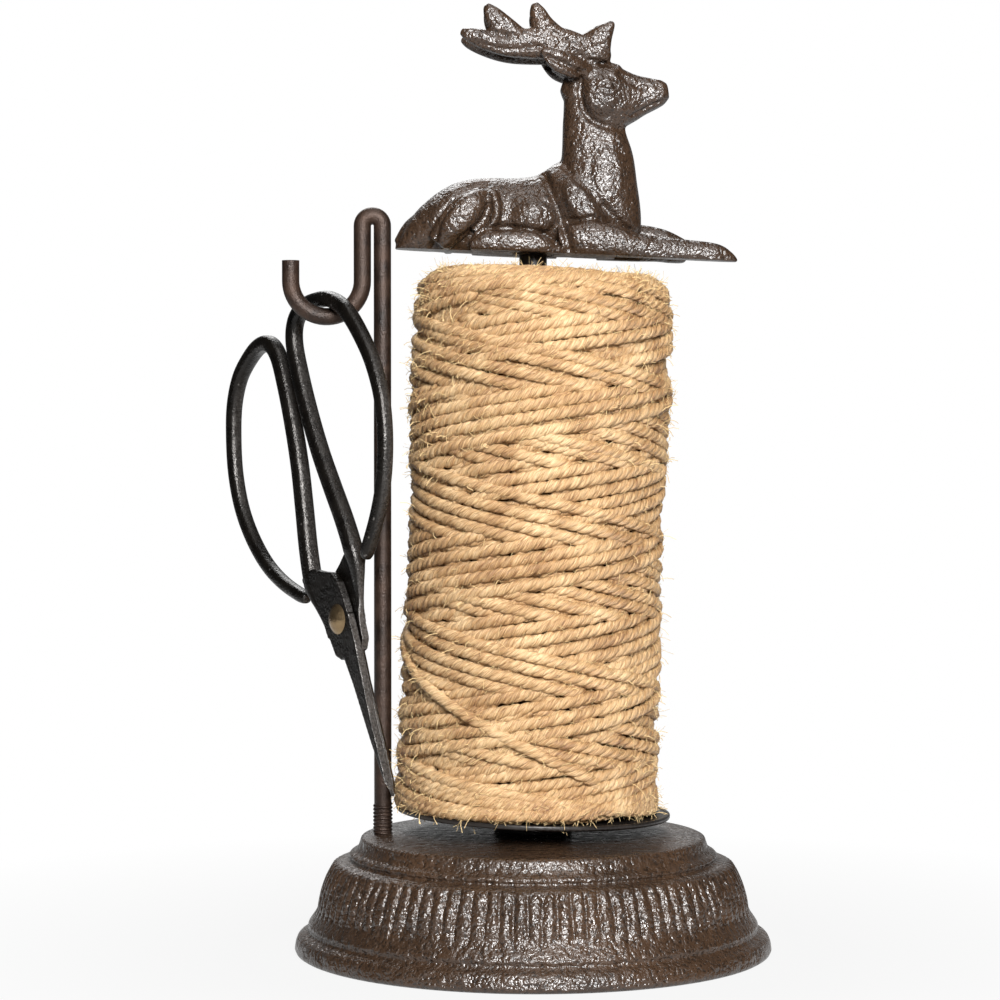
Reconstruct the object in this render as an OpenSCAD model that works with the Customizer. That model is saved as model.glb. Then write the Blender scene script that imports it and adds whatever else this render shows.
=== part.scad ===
// String holder: a cast-iron twine stand with a lying stag as its finial,
// a loose turntable for a roll of jute twine, and forged scissors on a hook.
// Millimetres, +Z up, front towards -Y, origin under the middle of the foot.

/* [Base] */
// height of the cast foot from the table to its flat top
base_h = 41.5; // [36:0.5:50]
// wall of the casting
wall = 4.5; // [3.5:0.25:6]
// number of upright flutes around the skirt
flutes = 96; // [48:4:120]
// depth of a flute at its middle
flute_depth = 0.8; // [0.5:0.05:1]

/* [Spindle and turntable] */
// diameter of the post that carries turntable and figure
spindle_d = 9.5; // [8.5:0.25:12]
// height of the collar between base and turntable
collar_h = 5.2; // [4:0.2:10]
// diameter of that collar
collar_d = 27; // [22:0.5:34]
// radius of the turntable disc
plate_r = 47.3; // [42:0.5:56]
// thickness of the turntable disc
plate_t = 1.3; // [1:0.1:3]
// lean of the loose turntable and its roll, in degrees
lean = 2; // [0:0.25:2.5]

/* [Twine] */
// height of the roll
roll_h = 185.3; // [150:0.1:210]
// thickness of one strand
strand_d = 3.8; // [3:0.1:4.4]
// turns of the outer layer
turns = 24; // [12:1:24]
// rounding of the roll's top shoulder
shoulder_r = 9; // [6:0.5:12]

/* [Hook] */
// diameter of the rod
rod_d = 6; // [5:0.25:7]
// gap between the rod's two limbs below the tight bend at the top
bend_gap = 0.9; // [0.6:0.1:4]
// radius of the open hook, on the rod's centre line
hook_r = 12.35; // [11:0.25:15]
// height of the tight bend above the hook's lowest point
neck_h = 31.2; // [26:0.2:42]
// length of the hook's free arm above its round
arm_l = 7; // [3:0.5:12]

/* [Scissors] */
// overall length of the scissors
scissors_l = 175; // [150:1:185]
// bar of the bows where it leaves the shank
bow_d = 6.6; // [5.2:0.1:7]
// bar of the bows at its free end
bow_end_d = 4.8; // [4:0.1:5.4]
// thickness of one blade
blade_t = 2.8; // [2:0.1:3.4]
// diameter of the rivet's head
rivet_head_d = 10.4; // [8:0.2:12]
// room between the blade tip and the top of the base
tip_gap = 15.9; // [9:0.1:30]

/* [Stag] */
// length of the figure from rump to hoof
stag_l = 116; // [100:1:125]
// forward lean of the figure, in degrees
stag_lean = 2.5; // [0:0.25:3]
// room between roll and figure
stag_gap = 5; // [4:0.5:12]

/* [Hidden] */
// clearance of a running fit, on the radius
fit = 0.05;
// clearance between pieces that only lie on one another
seat = 0.1;
// clearance between pieces that must never touch
apart = 0.3;
// round solids
$fn = 64;

// base, worked out from what stands on it
stag_k = stag_l / 116;
rump = 47.7 * stag_k;
rod_gap = 1.2;
bend_r = (rod_d + bend_gap) / 2;
hook_x = max(plate_r, rump) + rod_gap + rod_d / 2;
top_r = hook_x + rod_d / 2 + 3.8;
base_r = top_r + 23.5;
skirt_r = 0.8 * base_h;
skirt_x = base_r - 7.7 - skirt_r;
skirt_z = 0.29 * base_h;
step_z = 0.8 * base_h;
bead_r = 0.1 * base_h;
rim_r = 0.087 * base_h;
swell_r = 0.106 * base_h;
swell_z = 0.236 * base_h;
foot_inner = base_r - 7.5;
thread_d = spindle_d - 1.5;
spindle_boss_h = 6.5;
spindle_seat_z = base_h - wall - spindle_boss_h;
hook_boss_h = 5;
hook_seat_z = base_h - wall - hook_boss_h;
washer_t = 1.5;
spindle_nut_h = 6.4;
hook_nut_h = 4.8;

// turntable: it leans on the collar's edge
plate_z = base_h + collar_h + collar_d / 2 * tan(lean) + plate_t / 2 / cos(lean) + seat;
lip_h = 0.5;
lip_w = 1.3;
core_gap = 0.6;
core_in = spindle_d / 2 + roll_h * tan(lean) + core_gap;
core_wall = 1.6;
core_out = core_in + core_wall;
roll_r = plate_r - lip_w - 1.2;
rings_per_turn = 24;
chord_sag = roll_r * (1 - cos(180 / rings_per_turn));
wind_r = roll_r - strand_d / 2;
body_r = wind_r - strand_d / 2 - chord_sag - seat;

// figure
hoof_drop = 69 * stag_k * sin(stag_lean);
shoulder_fall = 3.5;
roll_top = plate_z + plate_t / 2 + roll_h * cos(lean) + roll_r * sin(lean);
stag_z = roll_top - shoulder_fall + hoof_drop + stag_gap;
bush_h = 17 * stag_k;
bush_r = spindle_d / 2 + 2.4;
socket_h = bush_h - 3;
spindle_top = stag_z + socket_h - seat;

// scissors, in their own plane: x across, y along, z out of the plane
scissors_k = scissors_l / 175;
scissors_turn = 55;
scissors_hang = 22.5;
// the closed blades lean away from the line between the bows
blade_lean = 5.5;
blade_gap = 0.12;
rivet_d = 4.8;

// centre line of one bow, from the shank round to its free end, as [across, along]
bow_points = scissors_k * [
    [-14.2, 17], [-13.2, 29.5], [-10, 45], [-7.4, 58.5], [-5.8, 73], [-5.2, 88], [-5.9, 100.5],
    [-9.8, 107.2], [-16.8, 109.3], [-25.5, 107.9], [-34.2, 104.2], [-41.6, 96.6], [-46.8, 85.5],
    [-50.2, 73.4], [-50.7, 60.4], [-47.6, 47.5], [-41.4, 35], [-32.6, 24.6], [-20.6, 14.6]
];
bow_steps = 3;
// from the rivet to the tip
blade_l = 65.2 * scissors_k;

function spline(a, b, c, d, t) =
    0.5 * (2 * b + (c - a) * t + (2 * a - 5 * b + 4 * c - d) * t * t + (3 * b - a - 3 * c + d) * t * t * t);

function smooth_path(p, steps) = [
    for (i = [0 : len(p) - 2], s = [0 : steps - 1])
        spline(p[max(i - 1, 0)], p[i], p[i + 1], p[min(i + 2, len(p) - 1)], s / steps),
    p[len(p) - 1]
];

bow_path = smooth_path(bow_points, bow_steps);

// the hung bow is the other half turned over, so its points have x reversed
function hung(p) = [
    -p[0] * cos(scissors_hang) - p[1] * sin(scissors_hang),
    -p[0] * sin(scissors_hang) + p[1] * cos(scissors_hang)
];
hung_path = [for (p = bow_path) hung(p)];
hung_top = max([for (p = hung_path) p[1]]);
hung_at = [for (p = hung_path) if (p[1] == hung_top) p[0]][0];
bow_top_d = (bow_d + bow_end_d) / 2;
tip_low = -blade_l * cos(scissors_hang + blade_lean);

hook_z = base_h + tip_gap - tip_low + hung_top - rod_d / 2 - bow_top_d / 2 - apart;
hook_at = -(hook_x + 2 * bend_r + hook_r);
rivet_z = hook_z + rod_d / 2 + bow_top_d / 2 + apart - hung_top;
rivet_x = hook_at - hung_at * cos(scissors_turn);
rivet_y = hung_at * sin(scissors_turn);

// general forms

// a closed skin over rings of points that all have the same count
module skin(rings) {
    n = len(rings[0]);
    last = (len(rings) - 1) * n;
    points = [for (r = rings, p = r) p];
    sides = [
        for (i = [0 : len(rings) - 2], j = [0 : n - 1])
            let (a = i * n + j, b = i * n + (j + 1) % n)
                for (f = [[a, a + n, b], [b, a + n, b + n]]) f
    ];
    ends = [
        for (j = [1 : n - 2]) for (f = [[0, j, j + 1], [last, last + j + 1, last + j]]) f
    ];
    polyhedron(points, concat(sides, ends));
}

// one ring of a bar along a flat path
function bar_ring(p, tangent, radius, sides) =
    let (across = [-tangent[1], tangent[0]] / norm(tangent))
        [for (k = [0 : sides - 1])
            let (a = 360 * (k + 0.5) / sides)
                [p[0] + radius * cos(a) * across[0], p[1] + radius * cos(a) * across[1], radius * sin(a)]];

// a washer
module washer(outer_d, inner_r, t) {
    difference() {
        cylinder(d = outer_d, h = t);
        translate([0, 0, -1])
            cylinder(r = inner_r, h = t + 2);
    }
}

// a hexagon nut with its corners turned off
module nut(flats, inner_r, h) {
    difference() {
        intersection() {
            cylinder(d = flats / cos(30), h = h, $fn = 6);
            cylinder(d = flats * 1.1, h = h);
        }
        translate([0, 0, -1])
            cylinder(r = inner_r, h = h + 2);
    }
}

// everything on the turntable leans about the middle of the plate
module leaning() {
    translate([0, 0, plate_z])
        rotate([0, lean, 0])
            children();
}

// base

function skirt_at(z, r) = skirt_x + sqrt(r * r - (z - skirt_z) * (z - skirt_z));

// outline of the casting, with its beads and steps as true rounds
module base_outline() {
    edge_r = 0.06 * base_h;
    square([base_r - rim_r, 2 * rim_r]);
    translate([base_r - rim_r, rim_r])
        circle(r = rim_r);
    translate([0, rim_r])
        square([base_r - 7.8, swell_z + swell_r - rim_r]);
    translate([base_r - 7.8, swell_z])
        circle(r = swell_r);
    intersection() {
        translate([skirt_x, skirt_z])
            circle(r = skirt_r);
        translate([skirt_x, bead_r])
            square([skirt_r + 1, step_z - bead_r]);
    }
    translate([0, bead_r])
        square([skirt_x + 1, base_h - bead_r]);
    translate([0, step_z - 1])
        square([top_r + 3.2, 3]);
    translate([top_r + 3.2, step_z + 0.5])
        circle(r = 1.5);
    translate([0, step_z])
        square([top_r - edge_r, base_h - step_z]);
    polygon([
        [0, step_z], [top_r + 3.2, step_z], [top_r + 1.2, (step_z + base_h - edge_r) / 2],
        [top_r, base_h - edge_r], [0, base_h - edge_r]
    ]);
    translate([top_r - edge_r, base_h - edge_r])
        circle(r = edge_r);
}

// hollow inside of the casting
module base_inside() {
    inner_r = skirt_r - wall;
    translate([0, -1])
        square([foot_inner, bead_r + 1]);
    intersection() {
        translate([skirt_x, skirt_z])
            circle(r = inner_r);
        translate([skirt_x, bead_r - 0.5])
            square([inner_r + 1, base_h - wall - bead_r + 0.5]);
    }
    translate([0, bead_r - 0.5])
        square([skirt_x + 1, base_h - wall - bead_r + 0.5]);
}

// one flute is a straight V cut along the skirt's chord, so it fades out at both ends
module flute_cut() {
    low = [skirt_at(0.34 * base_h, skirt_r), 0.34 * base_h];
    high = [skirt_at(0.775 * base_h, skirt_r), 0.775 * base_h];
    chord = norm(high - low);
    rise = skirt_r - sqrt(skirt_r * skirt_r - chord * chord / 4);
    cut_r = 1.5;
    tilt = atan2(low[0] - high[0], high[1] - low[1]);
    middle = (low + high) / 2;
    out = rise - flute_depth + cut_r;
    translate([middle[0] + out * cos(tilt), 0, middle[1] + out * sin(tilt)])
        rotate([0, -tilt, 0])
            cylinder(r = cut_r, h = chord, center = true, $fn = 4);
}

module base() {
    color("#4a3a2e")
        difference() {
            union() {
                difference() {
                    rotate_extrude($fn = 128)
                        base_outline();
                    rotate_extrude($fn = 128)
                        base_inside();
                }
                translate([0, 0, spindle_seat_z])
                    cylinder(r = thread_d / 2 + 8, h = spindle_boss_h + 1);
                translate([-hook_x, 0, hook_seat_z])
                    cylinder(r = rod_d / 2 + 4, h = hook_boss_h + 1);
            }
            translate([0, 0, spindle_seat_z - 1])
                cylinder(r = thread_d / 2 + 2 * fit, h = base_h);
            translate([-hook_x, 0, hook_seat_z - 1])
                cylinder(r = rod_d / 2 + 2 * fit, h = base_h);
            for (i = [0 : flutes - 1])
                rotate([0, 0, 360 * (i + 0.5) / flutes])
                    flute_cut();
        }
}

// spindle and its fixing

module spindle() {
    foot_z = spindle_seat_z - washer_t - spindle_nut_h - 3;
    color("#17130f") {
        translate([0, 0, foot_z])
            cylinder(d = thread_d, h = base_h - foot_z + 1);
        translate([0, 0, base_h])
            cylinder(d = spindle_d, h = spindle_top - base_h - 1);
        translate([0, 0, spindle_top - 1])
            cylinder(d1 = spindle_d, d2 = spindle_d - 2, h = 1);
    }
}

module spindle_washer() {
    color("#8d8d8a")
        translate([0, 0, spindle_seat_z - washer_t])
            washer(2.1 * thread_d, thread_d / 2 + 2 * fit, washer_t);
}

module spindle_nut() {
    color("#8d8d8a")
        translate([0, 0, spindle_seat_z - washer_t - spindle_nut_h])
            nut(1.63 * thread_d, thread_d / 2 + fit, spindle_nut_h);
}

module plate_collar() {
    color("#1a1612")
        translate([0, 0, base_h])
            difference() {
                union() {
                    cylinder(d = collar_d, h = collar_h - 1.2);
                    translate([0, 0, collar_h - 1.2])
                        cylinder(d1 = collar_d, d2 = collar_d - 2.4, h = 1.2);
                }
                translate([0, 0, -1])
                    cylinder(r = spindle_d / 2 + fit, h = collar_h + 2);
            }
}

// turntable and roll

module plate() {
    color("#17130f")
        leaning()
            rotate_extrude($fn = 128)
                difference() {
                    union() {
                        translate([0, -plate_t / 2])
                            square([plate_r - plate_t / 2, plate_t]);
                        translate([plate_r - plate_t / 2, 0])
                            circle(d = plate_t);
                        translate([plate_r - lip_w, 0])
                            square([lip_w, lip_h + plate_t / 2 - lip_w / 2]);
                        translate([plate_r - lip_w / 2, lip_h + plate_t / 2 - lip_w / 2])
                            circle(d = lip_w);
                    }
                    translate([-1, -plate_t])
                        square([spindle_d / 2 + apart + 1, 2 * plate_t]);
                }
}

module paper_core() {
    color("#b08d5f")
        leaning()
            translate([0, 0, plate_t / 2])
                difference() {
                    cylinder(r = core_out, h = roll_h - 1.5);
                    translate([0, 0, -1])
                        cylinder(r = core_in, h = roll_h + 2);
                }
}

// plain body of the twine package, under its outer turns
module twine_roll() {
    foot_r = 3;
    color("#b9935c")
        leaning()
            translate([0, 0, plate_t / 2])
                rotate_extrude($fn = 128)
                    difference() {
                        union() {
                            translate([0, foot_r])
                                square([body_r, roll_h - foot_r - shoulder_r - 1]);
                            square([body_r - foot_r, roll_h / 2]);
                            translate([body_r - foot_r, foot_r])
                                circle(r = foot_r);
                            translate([0, roll_h / 2])
                                square([body_r - shoulder_r, roll_h / 2 - 1]);
                            translate([body_r - shoulder_r, roll_h - 1 - shoulder_r])
                                circle(r = shoulder_r);
                        }
                        translate([-1, -1])
                            square([core_out + seat + 1, roll_h + 2]);
                    }
}

// one ring centre of the outer layer: up the straight side, then over the shoulder
wind_low = strand_d / 2 + 1.2;
wind_side = roll_h - 1 - shoulder_r - wind_low;
wind_round = 65;
wind_over = (shoulder_r + wind_r - body_r) * wind_round * PI / 180;
wind_count = turns * rings_per_turn;

function wind_point(i) =
    let (
        s = i / wind_count * (wind_side + wind_over),
        round_angle = max(0, s - wind_side) / (shoulder_r + wind_r - body_r) * 180 / PI,
        r = wind_r - (shoulder_r + wind_r - body_r) * (1 - cos(round_angle)),
        z = wind_low + min(s, wind_side) + (shoulder_r + wind_r - body_r) * sin(round_angle),
        a = 360 * i / rings_per_turn
    )
        [r * cos(a), r * sin(a), z];

wind_line = [for (i = [0 : wind_count]) wind_point(i)];

// both ends run on straight for one strand
wind_start = wind_line[0] - strand_d * (wind_line[1] - wind_line[0]) / norm(wind_line[1] - wind_line[0]);
wind_end = wind_line[wind_count]
    + strand_d * (wind_line[wind_count] - wind_line[wind_count - 1])
        / norm(wind_line[wind_count] - wind_line[wind_count - 1]);
wind_path = concat([wind_start], wind_line, [wind_end]);

function wind_ring(i) =
    let (
        n = len(wind_path),
        p = wind_path[i],
        step = wind_path[min(i + 1, n - 1)] - wind_path[max(i - 1, 0)],
        along = step / norm(step),
        outward = [p[0], p[1], 0] / norm([p[0], p[1]]),
        up_raw = cross(along, outward),
        up = up_raw / norm(up_raw),
        out = cross(up, along)
    )
        [for (k = [0 : 5]) p + strand_d / 2 * (cos(60 * k + 30) * out + sin(60 * k + 30) * up)];

wind_gap = min([
    for (i = [0 : 4 : len(wind_path) - 1], j = [i + 16 : min(i + 32, len(wind_path) - 1)])
        if (j < len(wind_path)) norm(wind_path[i] - wind_path[j])
]) - strand_d;

module twine_winding() {
    echo(least_gap_of_winding_mm = wind_gap);
    color("#c7a468")
        leaning()
            translate([0, 0, plate_t / 2])
                skin([for (i = [0 : len(wind_path) - 1]) wind_ring(i)]);
}

// stag

// an upright section of the body: a full round that the flat underside cuts later
function body_ring(x, top, half) = [
    for (k = [0 : 19])
        let (a = 360 * k / 20, c = cos(a), s = sin(a), low = top * 0.4)
            [
                x,
                half * sign(c) * pow(abs(c), 0.8),
                low + (s > 0 ? (top - low) * pow(s, 0.85) : (low + 6) * s)
            ]
];

// a round section across the neck
function neck_ring(x, z, deep, half, tilt) = [
    for (k = [0 : 15])
        let (a = 360 * k / 16)
            [x + deep * cos(a) * cos(tilt), half * sin(a), z + deep * cos(a) * sin(tilt)]
];

// an upright round section across the head
function head_ring(x, z, deep, half) = [
    for (k = [0 : 15])
        let (a = 360 * k / 16)
            [x, half * cos(a), z + deep * sin(a)]
];

// a tapering limb between two points
module limb(a, ra, b, rb) {
    hull() {
        translate(a)
            sphere(r = ra, $fn = 14);
        translate(b)
            sphere(r = rb, $fn = 14);
    }
}

module limbs(points, radii) {
    for (i = [0 : len(points) - 2])
        limb(points[i], radii[i], points[i + 1], radii[i + 1]);
}

module stag_trunk() {
    skin([
        body_ring(-47, 4, 6), body_ring(-43.5, 10, 11), body_ring(-38.6, 16, 14.5),
        body_ring(-32.8, 20.6, 16.5), body_ring(-26.4, 23.9, 17.5), body_ring(-18, 25.4, 17),
        body_ring(-8, 26, 15.5), body_ring(0, 27, 15.5), body_ring(6, 31, 15.5),
        body_ring(14, 33.5, 15), body_ring(24, 32, 14.5), body_ring(32, 28.5, 12),
        body_ring(37, 20, 8.5)
    ]);
    skin([
        neck_ring(20, 20, 15, 13, 0), neck_ring(20.7, 28, 12.8, 12, -6), neck_ring(20, 36, 11.4, 10, -8),
        neck_ring(18.6, 44, 10.2, 8.6, -6), neck_ring(17.6, 52, 10, 8, 0), neck_ring(17, 58, 9.4, 7.4, 0)
    ]);
}

module stag_head() {
    skin([
        head_ring(9, 57.6, 4.6, 5), head_ring(13, 57.2, 9.2, 7.6), head_ring(18, 56.2, 11.8, 8.6),
        head_ring(23, 55.4, 12, 8.6), head_ring(28, 55.2, 10.2, 7.6), head_ring(32, 55.3, 8.3, 6.2),
        head_ring(36, 56.1, 6.8, 5.2), head_ring(40, 57, 5, 4.6), head_ring(43.4, 57.8, 2.8, 3)
    ]);
}

module stag_antler() {
    limbs(
        [[20, -4, 66], [12, -5.6, 70.8], [2, -7, 72.6], [-9, -8, 72], [-18, -8.6, 72.6], [-26, -9, 74.8]],
        [4.2, 5, 5.4, 4.9, 3.8, 1.8]
    );
    limb([17, -4.8, 71], 4.4, [23.8, -6, 79.4], 2.2);
    limb([3.5, -7, 75], 4.4, [-2.6, -8, 84.8], 1.7);
    limb([-9, -8, 74.4], 3.8, [-18.6, -9.4, 83.2], 1.6);
}

module stag_side() {
    stag_antler();
    limbs([[14, -8, 61], [7, -11, 65], [2, -12, 68.4]], [2.4, 3, 1.3]);
    limbs([[8, -12, 9], [18, -12.5, 10]], [8.5, 8.5]);
    limb([10, -10, 22], 7, [18, -11.5, 12], 8);
    limb([-27, -11.5, 12], 8, [-18, -11, 16], 8);
    limbs([[-24, -13.5, 4], [-6, -14, 4.6], [5, -13, 3.6]], [4.5, 5, 4]);
}

// the near foreleg is stretched out, the far one is folded
module stag_forelegs() {
    limbs(
        [[14, -11.5, 8.4], [32, -12, 6.6], [43, -11.2, 4.2], [58, -10.2, 3], [66.6, -9.6, 1.6]],
        [8.4, 6.2, 4.8, 4, 2]
    );
    limbs([[22, 11, 9], [38, 11, 8], [50, 10, 5.6]], [8, 5.5, 3]);
}

module stag() {
    color("#4a3a2e")
        difference() {
            translate([0, 0, stag_z])
                rotate([0, stag_lean, 0])
                    scale(stag_k)
                        difference() {
                            union() {
                                stag_trunk();
                                stag_head();
                                stag_side();
                                mirror([0, 1, 0])
                                    stag_side();
                                stag_forelegs();
                                limb([-41, 0, 9], 3, [-46, 0, 3], 2);
                            }
                            translate([-100, -50, -40])
                                cube([220, 100, 40]);
                        }
            translate([0, 0, stag_z - 10])
                cylinder(r = (bush_r + seat) / cos(180 / 48), h = bush_h + 10 + seat, $fn = 48);
        }
}

// round socket in the figure, open below
module stag_bush() {
    color("#77736c")
        translate([0, 0, stag_z])
            difference() {
                cylinder(r = bush_r, h = bush_h);
                translate([0, 0, -1])
                    cylinder(r = spindle_d / 2 + fit, h = socket_h + 1);
            }
}

// hook

// a bent stretch of rod in the upright plane, about a centre
module rod_bend(centre, r, from, sweep) {
    translate(centre)
        rotate([90, 0, 0])
            rotate([0, 0, from])
                rotate_extrude(angle = sweep)
                    translate([r, 0])
                        circle(d = rod_d);
}

module rod_run(x, low, high) {
    translate([x, 0, low])
        cylinder(d = rod_d, h = high - low);
}

bend_z = hook_z + neck_h;
limb_x = -hook_x - 2 * bend_r;
hook_mid_z = hook_z + hook_r;

module hook_rod() {
    foot_z = hook_seat_z - washer_t - hook_nut_h - 2;
    color("#4b3d33") {
        rod_run(-hook_x, foot_z, bend_z);
        rod_bend([-hook_x - bend_r, 0, bend_z], bend_r, 0, 180);
        rod_run(limb_x, hook_mid_z, bend_z);
        rod_bend([hook_at, 0, hook_mid_z], hook_r, 180, 180);
        rod_run(hook_at - hook_r, hook_mid_z, hook_mid_z + arm_l);
    }
}

module hook_washer() {
    color("#8d8d8a")
        translate([-hook_x, 0, hook_seat_z - washer_t])
            washer(2 * rod_d, rod_d / 2 + 2 * fit, washer_t);
}

module hook_nut() {
    color("#8d8d8a")
        translate([-hook_x, 0, hook_seat_z - washer_t - hook_nut_h])
            nut(1.67 * rod_d, rod_d / 2 + fit, hook_nut_h);
}

// scissors

// shank plate and blade seen from the front, with the bow on the left
module blade_outline(lean) {
    scale(scissors_k) {
        polygon([
            [-16.8, 20.5], [-9.2, 21.6], [-3.6, 18.6], [1.6, 16.4], [4.8, 12], [6.2, 5], [7, -4],
            [0, -10], [-8.4, -4], [-9.8, 6], [-16.2, 15.5]
        ]);
        rotate(lean)
            polygon([
                [6.9, -1], [6.2, -12], [4.9, -22], [3, -38], [1.4, -65.2], [-0.4, -60], [-1.8, -45],
                [-2.9, -24], [-4.1, -13.6], [-7, -10.6], [-8, -3]
            ]);
    }
}

// one forged half: plate and blade in the front layer, bow round the middle plane
module scissors_half(lean) {
    steps = len(bow_path) - 1;
    difference() {
        union() {
            translate([0, 0, blade_gap])
                linear_extrude(blade_t)
                    blade_outline(lean);
            skin([
                for (i = [0 : steps])
                    bar_ring(
                        bow_path[i],
                        bow_path[min(i + 1, steps)] - bow_path[max(i - 1, 0)],
                        (bow_d + (bow_end_d - bow_d) * i / steps) / 2,
                        10
                    )
            ]);
        }
        translate([0, 0, -1])
            cylinder(d = rivet_d + 2 * fit, h = blade_t + 4);
        rotate([0, 0, lean])
            translate([-4.1 * scissors_k, -13.6 * scissors_k, blade_gap + 1.2])
                rotate([0, 0, -84.6])
                    rotate([-30, 0, 0])
                        translate([-2, -8, 0])
                            cube([70 * scissors_k, 8, 8]);
    }
}

// from the scissors' plane to the place where they hang
module hanging() {
    translate([rivet_x, rivet_y, rivet_z])
        rotate([90, 0, -scissors_turn])
            rotate([0, 0, scissors_hang])
                children();
}

module scissors_front_half() {
    color("#2a2723")
        hanging()
            scissors_half(blade_lean);
}

module scissors_hung_half() {
    color("#3a3733")
        hanging()
            rotate([0, 180, 0])
                scissors_half(-blade_lean);
}

module scissors_rivet() {
    head_r = rivet_head_d / 2;
    head_h = 2.2;
    dome_r = (head_r * head_r + head_h * head_h) / (2 * head_h);
    under = blade_gap + blade_t + seat;
    color("#9a7440")
        hanging() {
            cylinder(d = rivet_d, h = 2 * under, center = true);
            for (side = [0, 180])
                rotate([0, side, 0])
                    intersection() {
                        translate([0, 0, under + head_h - dome_r])
                            sphere(r = dome_r);
                        translate([0, 0, under])
                            cylinder(r = head_r + 1, h = head_h + 1);
                    }
        }
}

base();
spindle();
spindle_washer();
spindle_nut();
plate_collar();
plate();
paper_core();
twine_roll();
twine_winding();
stag();
stag_bush();
hook_rod();
hook_washer();
hook_nut();
scissors_hung_half();
scissors_front_half();
scissors_rivet();
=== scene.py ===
# String holder: a cast-iron stand with a lying stag as its finial, a roll of jute twine
# on a loose turntable, and forged scissors on a hook. Metres, front towards -Y.
import math
import bpy
import bmesh
import numpy as np
from mathutils import Matrix, Vector


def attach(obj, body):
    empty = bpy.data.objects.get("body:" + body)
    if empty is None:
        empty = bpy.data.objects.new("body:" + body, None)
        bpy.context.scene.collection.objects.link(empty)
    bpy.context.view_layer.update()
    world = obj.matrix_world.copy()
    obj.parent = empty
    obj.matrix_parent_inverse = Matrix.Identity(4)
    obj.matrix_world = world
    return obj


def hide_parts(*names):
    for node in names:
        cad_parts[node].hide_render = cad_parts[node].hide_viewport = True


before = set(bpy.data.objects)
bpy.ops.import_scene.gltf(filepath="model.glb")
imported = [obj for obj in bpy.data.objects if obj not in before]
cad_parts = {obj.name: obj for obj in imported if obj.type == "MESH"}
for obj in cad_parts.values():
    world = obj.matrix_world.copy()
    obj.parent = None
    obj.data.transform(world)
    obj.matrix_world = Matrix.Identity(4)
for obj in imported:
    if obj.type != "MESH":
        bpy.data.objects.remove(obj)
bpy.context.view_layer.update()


# Camera: level with the middle of the roll, about a metre in front of the stand,
# with a long lens that looks down by a little more than one degree.
camera_lens, camera_dip = 102.6, math.radians(1.2)


def new_object(name, data):
    made = bpy.data.objects.new(name, data)
    bpy.context.scene.collection.objects.link(made)
    return made


camera = new_object("camera", bpy.data.cameras.new("camera"))
camera.data.sensor_width = 36
camera.data.lens = camera_lens
camera.location = (-0.0114, -0.983, 0.176)
camera.rotation_euler = (math.pi / 2 - camera_dip, 0, 0)
bpy.context.scene.camera = camera
bpy.context.scene.view_settings.view_transform = "Standard"


# Studio: a plain floor that keeps the stand's shadow, a white wall behind it, a large soft lamp
# beside the camera, a weak one from the left, one from above and one high behind the stand.
floor_half, floor_grey, world_light = 0.7, "#747472", 0.04
glow_near, glow_far, glow_least = 0.1, 0.3, 0.9
wall_from, wall_full, wall_mirrored = 0.75, 1.0, 0.5
white = (1, 1, 1, 1)
larger, times = {"operation": "MAXIMUM"}, {"operation": "MULTIPLY"}
times_plus, blend = {"operation": "MULTIPLY_ADD"}, {"data_type": "RGBA"}


def linear(code):
    parts = [int(code[i:i + 2], 16) / 255 for i in (1, 3, 5)]
    return [c / 12.92 if c <= 0.04045 else ((c + 0.055) / 1.055) ** 2.4 for c in parts] + [1]


# a kind with no Node in its name is a shader node; an input is given by its name, or as i and its
# number; a node that is given as an input stands for its first live output
def add(tree, kind, settings=None, **inputs):
    made = tree.nodes.new(kind if "Node" in kind else "ShaderNode" + kind)
    for key, value in (settings or {}).items():
        setattr(made, key, value)
    for key, value in inputs.items():
        numbered = key[0] == "i" and key[1:].isdigit()
        socket = made.inputs[int(key[1:]) if numbered else key.replace("_", " ")]
        if isinstance(value, bpy.types.Node):
            value = next(output for output in value.outputs if output.enabled)
        if isinstance(value, bpy.types.NodeSocket):
            tree.links.new(value, socket)
        else:
            socket.default_value = value
    return made


def new_material(name):
    made = bpy.data.materials.new(name)
    made.use_nodes = True
    made.node_tree.nodes.clear()
    return made, made.node_tree


# the floor is seen as white, and a little of its own grey near the stand holds the shadow
floor_paint, tree = new_material("floor white paint")
path = add(tree, "LightPath")
glossy = path.outputs["Is Glossy Ray"]
seen = add(tree, "Math", larger, i0=path.outputs["Is Camera Ray"], i1=glossy)
seen = add(tree, "Math", larger, i0=seen, i1=path.outputs["Is Transmission Ray"])
where = add(tree, "TexCoord").outputs["Object"]
far = add(tree, "VectorMath", {"operation": "LENGTH"}, i0=where)
fade = add(tree, "MapRange", i0=far, i1=glow_near, i2=glow_far, i3=glow_least, i4=1.0)
part = add(tree, "Math", times, i0=seen, i1=fade)
lit = add(tree, "BsdfDiffuse", Color=linear(floor_grey))
glow = add(tree, "Emission", Color=white, Strength=1.0)
floor_skin = add(tree, "MixShader", i0=part, i1=lit, i2=glow)
add(tree, "OutputMaterial", Surface=floor_skin)

floor_mesh = bpy.data.meshes.new("floor")
corners = [(x * floor_half, y * floor_half, 0) for x, y in ((-1, -1), (1, -1), (1, 1), (-1, 1))]
floor_mesh.from_pydata(corners, [], [(0, 1, 2, 3)])
floor = new_object("floor", floor_mesh)
floor.data.materials.append(floor_paint)

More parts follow.
